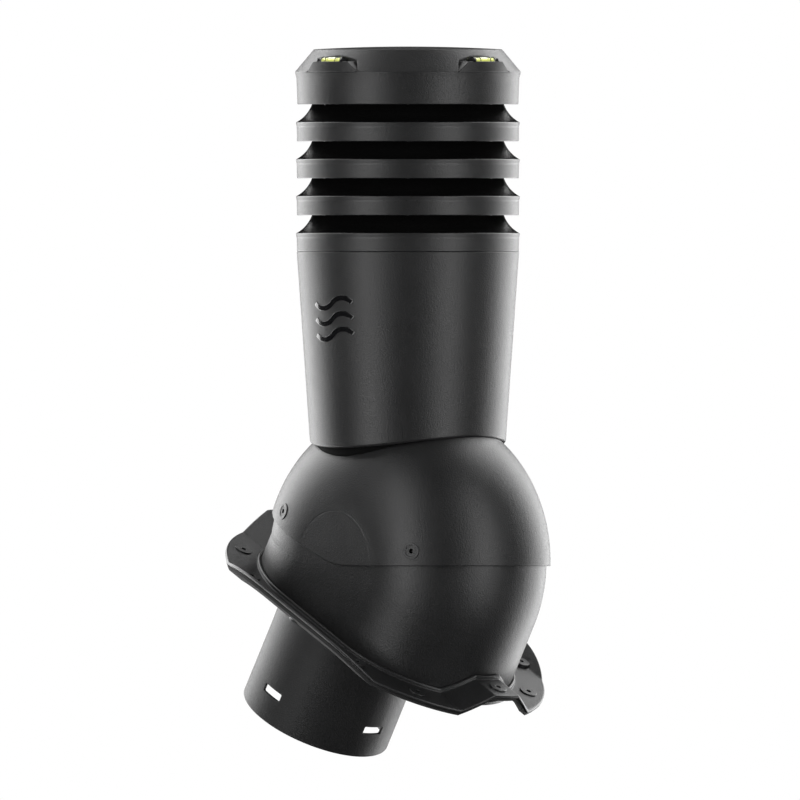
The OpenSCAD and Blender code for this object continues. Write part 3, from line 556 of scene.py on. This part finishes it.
round_steps = 180
around = np.arange(round_steps) * 2 * math.pi / round_steps
upstand_mid = (upstand_in + upstand_out) / 2
upstand_foot = np.sqrt((cheek_r + np.sqrt(dome_r ** 2 - (upstand_mid * np.sin(around)) ** 2)) ** 2
                       - (upstand_mid * np.cos(around)) ** 2) - 2.4
rise = np.concatenate([np.linspace(0, 0.97, 12), [0.985, 0.993, 0.997, 1.0]])[:, None]
upstand_z = upstand_foot + rise * (upstand_top - upstand_foot)
upstand_ease = eased(upstand_top - upstand_z, 0.8)
upstand_sheets = [np.stack([r * np.cos(around), r * np.sin(around), upstand_z], -1)
                  for r in (upstand_out - upstand_ease, upstand_in + 0 * upstand_z)]
upstand_points, upstand_quads = wall(on_hood(upstand_sheets[0]), on_hood(upstand_sheets[1]),
                                     np.ones((len(rise) - 1, len(around)), bool), True)
# Near-black matte colour on the upstand: painted shade for the shadowed gap under the tube's lower edge.
upstand_painted_shade = finish_of("upstand_painted_shade", (0.0015, 0.0015, 0.0015), (0.003, 0.003, 0.003), 0.9, 900, 0.4,
                      specular=0.12)
piece("dome_shell", dome_parts, black_plastic, "hood", "moulded_black", "dome")
piece("dome_upstand", [(upstand_points, upstand_quads, np.zeros(len(upstand_points)))], upstand_painted_shade, "hood",
      "moulded_black")


# ---- Tube and air symbol -------------------------------------------------------------------------------
# A tapered moulded tube that slips over the dome's upstand, its lower edge cut in a shallow wave. Three
# polished black waves, a plain sign for moving air, are let into the side that faces along the eaves.

tube_r, tube_top, tube_wall = 106.9, 297.4, 3.0
tube_low, tube_low_r, tube_rise = 108.7, 93.77, 10.3
taper = (tube_r - tube_low_r) / (tube_top - tube_low)
ledge_top = 153
symbol_z, symbol_gap = 233, 15
symbol_proud, symbol_sunk = 0.35, 0.4
symbol_gloss = finish_of("symbol_gloss", (0.004, 0.004, 0.0045), (0.008, 0.008, 0.009), 0.14, 300, 0.02,
                         coat=0.6)


def tube_radius(z):
    """Radius of the tube's outer face at a height over the pivot axis."""
    return tube_r - (tube_top - z) * taper


wave_r = (tube_radius(tube_low) ** 2 + tube_rise ** 2) / (2 * tube_rise)
edge_y = tube_radius(tube_low + 5) * np.sin(around)
edge_z = tube_low + tube_rise - wave_r + np.sqrt(wave_r ** 2 - edge_y ** 2)
tube_up = np.concatenate([[0, 0.1, 0.3, 0.6, 1.0, 1.5, 2.1, 2.8, 4.0, 7.0],
                          np.linspace(12, 170, 24)])[:, None]
tube_down = np.array([2.5, 1.3, 1.0, 0.8, 0.5, 0.25, 0.1, 0])[:, None]
tube_z = np.concatenate([edge_z + tube_up, tube_top - tube_down + 0 * edge_z])
tube_ease = eased(tube_z - edge_z, 2.6) + eased(tube_top - tube_z, 1.0)
tube_sheets = [np.stack([r * np.cos(around), r * np.sin(around), tube_z], -1)
               for r in (tube_radius(tube_z) - tube_ease, tube_radius(tube_z) - tube_wall)]
tube_points, tube_quads = wall(on_hood(tube_sheets[0]), on_hood(tube_sheets[1]),
                               np.ones((len(tube_z) - 1, len(around)), bool), True)
tube_wear = np.concatenate([np.clip(tube_ease * 0.6, 0, 0.8).ravel(), 0 * tube_ease.ravel()])
ledge = turned(*rounded([
    (upstand_in, upstand_top, 0.3), (tube_radius(upstand_top) - 2.6, upstand_top, 0.3),
    (tube_radius(ledge_top) - 2.6, ledge_top, 0.3), (upstand_in, ledge_top, 0.3)]))
piece("vent_tube", [(tube_points, tube_quads, tube_wear), (on_hood(ledge[0]), ledge[1], 0 * ledge[2])],
      black_plastic, "hood", "moulded_black", "outer_tube")

arc_r, arc_a, strip_w = 18.0, math.radians(44), 5.0
half_wave = np.linspace(-1, 1, 41) * arc_a
crest = np.stack([arc_r * math.sin(arc_a) + arc_r * np.sin(half_wave),
                  arc_r * (np.cos(half_wave) - math.cos(arc_a))], -1)
crest_side = np.stack([np.sin(half_wave), np.cos(half_wave)], -1)
line = np.concatenate([-crest[::-1], crest[1:]])
line_side = np.concatenate([crest_side[::-1], crest_side[1:]])
strip_v = np.array([-1, -0.97, -0.9, -0.8, -0.6, -0.3, 0, 0.3, 0.6, 0.8, 0.9, 0.97, 1]) * strip_w / 2
strip = line + strip_v[:, None, None] * line_side
from_end = np.minimum(np.arange(len(line)), np.arange(len(line))[::-1]) * 0.7
strip_ease = eased(np.minimum(strip_w / 2 - np.abs(strip_v)[:, None], from_end), 0.3)
symbol_parts = []
for lift in (-symbol_gap, 0, symbol_gap):
    x, z = strip[..., 0], strip[..., 1] + symbol_z + lift
    sheets = [np.stack([x, -np.sqrt((tube_radius(z) + proud) ** 2 - x ** 2), z], -1)
              for proud in (symbol_proud - strip_ease, -symbol_sunk + 0 * strip_ease)]
    spots, sides = wall(on_hood(sheets[0]), on_hood(sheets[1]),
                        np.ones((len(strip) - 1, len(line) - 1), bool), False)
    symbol_parts.append((spots, sides, np.zeros(len(spots))))
piece("air_waves", symbol_parts, symbol_gloss, "hood", "symbol_gloss", "air_symbol")


# ---- Inner duct and insulation -------------------------------------------------------------------------
# A plain extruded duct carries the air from the barrel to the head, in a two-part sleeve of mineral fibre.

duct_grey = finish_of("duct_grey", (0.13, 0.135, 0.14), (0.2, 0.205, 0.21), 0.45)
insulation = finish_of("insulation", (0.5, 0.46, 0.36), (0.75, 0.72, 0.64), 0.95, 260, 1.0)
dress(duct_grey, "inner_duct")
dress(insulation, "insulation_ridge", "insulation_eaves")


# ---- Louvre head ---------------------------------------------------------------------------------------
# A collar and three rings on six tie rods with spacers between them. Each is a turned band whose hollow
# flare rises from the lip and sheds rain; a cage inside keeps insects out.

lip_r, flare_r, flare_t = 107.8, 32.0, 2.4
collar_lip, band_pitch = 314.9, 35.55
flare_start, flare_end, flare_tip = math.radians(27), math.radians(74), math.radians(76)
flare_x = lip_r + flare_r * math.sin(flare_start)
flare_z = flare_r * math.cos(flare_start)
rod_ring_r = 86.0


def flare_point(r, a):
    """Corner of the profile at an angle and a distance from the middle of the flare's round."""
    return (flare_x - r * math.sin(a), flare_z - r * math.cos(a), 0)


def band(height):
    """Closed profile of a louvre: draft face, lip, hollow flare, its round end, its back, the inner face."""
    inner_a = math.asin((flare_x - lip_r + 3.6) / (flare_r + flare_t))
    corners = [(lip_r - 1.1, -height, 0.8), (lip_r - 0.9, -4.2, 5.0), (lip_r, 0, 1.0)]
    corners += [flare_point(flare_r, a) for a in np.linspace(flare_start, flare_end, 12)[1:]]
    corners.append(flare_point(flare_r + flare_t / 2, flare_tip))
    corners += [flare_point(flare_r + flare_t, a) for a in np.linspace(flare_end, inner_a, 8)]
    corners.append((lip_r - 4.1, -height, 0.8))
    return rounded(corners)


lug = rounded([(2.7, 14, 0.3), (6.5, 14, 0.5), (6.5, 20, 0.5), (2.7, 20, 0.3)])
collar_floor = rounded([(75.5, 300.0, 0.4), (104.5, 300.0, 0.4), (104.5, 303.0, 0.4), (75.5, 303.0, 0.4)])
plug_low = 282.4
plug = rounded([
    (tube_radius(plug_low) - 5.6, plug_low, 0.5), (tube_radius(plug_low) - 3.2, plug_low, 0.5),
    (tube_radius(tube_top) - 3.2, 297.48, 0.05), (105.0, 297.55, 0.2), (105.0, 299.4, 0.2),
    (103.7, 300.6, 0.2), (101.3, 300.6, 0.2)])
# Darker black on the flares' hollow faces: painted shade for the recess under the band above.
flare_painted_shade = finish_of("flare_painted_shade", (0.003, 0.003, 0.003), (0.006, 0.006, 0.006), 0.13, specular=0.1)
for name, level, height, node in (
        ("vent_collar", 0, 17.45, "louvre_collar"), ("lower_louvre", 1, 18.0, "louvre_ring_low"),
        ("middle_louvre", 2, 18.0, "louvre_ring_mid"), ("upper_louvre", 3, 18.0, "louvre_ring_high")):
    lip = collar_lip + level * band_pitch
    parts = []
    profile, worn_profile = band(height)
    spots, sides, worn = turned(profile, worn_profile, round_steps)
    # Quads of the hollow flare, which take the painted shade.
    hollow = (profile[:, 1] > 0.4) & (np.roll(profile[:, 1], -1) > 0.4)
    parts.append((on_hood(spots + [0, 0, lip]), sides, worn, np.repeat(hollow, round_steps).astype(int)))
    spots, sides, worn = turned(*lug, 32)
    for a in np.radians(np.arange(15, 360, 60)):
        lug_place = [rod_ring_r * math.cos(a), rod_ring_r * math.sin(a), lip]
        parts.append((on_hood(spots + lug_place), sides, worn))
    if level == 0:
        for spots, sides, worn in (turned(*collar_floor), turned(*plug)):
            parts.append((on_hood(spots), sides, worn))
    piece(name, parts, black_plastic, "head", "moulded_black", node, second=flare_painted_shade)

dress(zinc_steel, "tie_rods")
dress(inner_plastic, "rod_spacers", "insect_cage")


# ---- Cap -----------------------------------------------------------------------------------------------
# One moulding with a bevel round a slightly crowned top. On two sides, a quarter turn apart, a flat pocket
# is cut into the bevel and a platform with sloping shoulders stands in it to carry a bubble level.

dress(black_plastic, "cap")
soften(0.0008, "cap")


# ---- Bubble levels -------------------------------------------------------------------------------------
# Clear acrylic vials with yellow-green spirit, given a faint emission as painted light, an air bubble, black
# end plugs and two graduation rings. They are snapped into black holders, which are let into the platforms.

level_black = finish_of("level_black", (0.006, 0.006, 0.006), (0.016, 0.016, 0.017), 0.3)
spirit = finish_of("level_spirit", (0.8, 0.84, 0.03), (0.95, 0.97, 0.12), 0.12, 500, 0.02, 0.0, 1.0)
spirit_painted_glow = next(node for node in spirit.node_tree.nodes if node.type == "BSDF_PRINCIPLED")
# Emission on the spirit is painted light: it glows though it is no lamp.
spirit_painted_glow.inputs["Emission Color"].default_value = (0.8, 0.86, 0.08, 1)
spirit_painted_glow.inputs["Emission Strength"].default_value = 0.25
# Near-white bubble: a painted highlight in place of the bright reflection on the clear air bubble.
bubble_painted_highlight = finish_of("level_bubble", (0.9, 0.93, 0.8), (0.98, 1.0, 0.94), 0.1, 500, 0.02, 0.0, 1.0)
vial_out, vial_z, spirit_r, spirit_half = 102.0, 480.6, 3.1, 13.0
bubble_r, bubble_half, bubble_rise = 1.5, 5.6, 2.3
mark_in, mark_out, mark_half, mark_place = 4.05, 4.28, 0.25, 6.6


def clear_vial():
    """Clear acrylic: mostly see-through, with a glossy skin and faint specks that also give a slight bump.
    """
    material = bpy.data.materials.new("vial_clear")
    material.use_nodes = True
    material.node_tree.nodes.clear()
    start = Wire(material.node_tree)
    place = start.node("TexCoord", out=3)
    specks = start.node("TexNoise", sockets={"Vector": place, "Scale": 900, "Detail": 2})
    bump = start.node("Bump", sockets={"Height": specks, "Strength": 0.02, "Distance": 0.0001})
    skin = start.node("BsdfPrincipled", sockets={
        "Base Color": (0.95, 0.98, 0.9, 1), "Roughness": 0.05 + specks * 0.05, "Normal": bump,
        "Alpha": 0.12 + specks * 0.06, "IOR": 1.49})
    start.node("OutputMaterial", sockets={"Surface": skin})
    return material


vial_clear = clear_vial()
for side, turn_by in (("slope", math.pi), ("eaves", -math.pi / 2)):
    along = np.array([math.cos(turn_by), math.sin(turn_by), 0])
    outwards = np.array([-math.sin(turn_by), math.cos(turn_by), 0])
    upwards = np.array([0, 0, 1.0])
    middle = outwards * vial_out + upwards * vial_z
    lying = np.stack([outwards, upwards, along])
    spots, sides, worn = turned(*rounded([
        (0.0, -spirit_half, 0), (spirit_r, -spirit_half, 0.8), (spirit_r, spirit_half, 0.8),
        (0.0, spirit_half, 0)]), 40)
    piece(side + "_spirit", [(on_hood(spots @ lying + middle), sides, 0 * worn)], spirit, "head",
          "level_fluid", side + "_level_fluid")
    spots, sides, worn = turned(*rounded([
        (0.0, -bubble_half, 0), (bubble_r, -bubble_half, 1.2), (bubble_r, bubble_half, 1.2),
        (0.0, bubble_half, 0)]), 32)
    floating = on_hood(spots @ lying + middle + upwards * bubble_rise)
    piece(side + "_bubble", [(floating, sides, 0 * worn)], bubble_painted_highlight, "head", "level_fluid")
    rings = []
    for place in (-mark_place, mark_place):
        spots, sides, worn = turned(*rounded([
            (mark_in, place - mark_half, 0.05), (mark_out, place - mark_half, 0.05),
            (mark_out, place + mark_half, 0.05), (mark_in, place + mark_half, 0.05)]), 40)
        rings.append((on_hood(spots @ lying + middle), sides, 0 * worn))
    piece(side + "_graduations", rings, level_black, "head", "level_black")
    dress(vial_clear, side + "_level_vial")
    dress(level_black, side + "_level_plugs", side + "_level_holder")


# ---- Floor ---------------------------------------------------------------------------------------------
# A plain pale sheet just under the spigot's mouth, part of the studio and not of the chimney.

floor_gap, reach = 0.001, 1.35
floor_low = cad_box[0].z - floor_gap
corners = [(x, y, floor_low) for x in (-reach, reach) for y in (-reach, reach)]
floor_mesh = bpy.data.meshes.new("floor")
floor_mesh.from_pydata(corners, [], [(0, 2, 3, 1)])
floor = bpy.data.objects.new("floor", floor_mesh)
bpy.context.scene.collection.objects.link(floor)
floor.visible_glossy = False
floor.visible_shadow = False
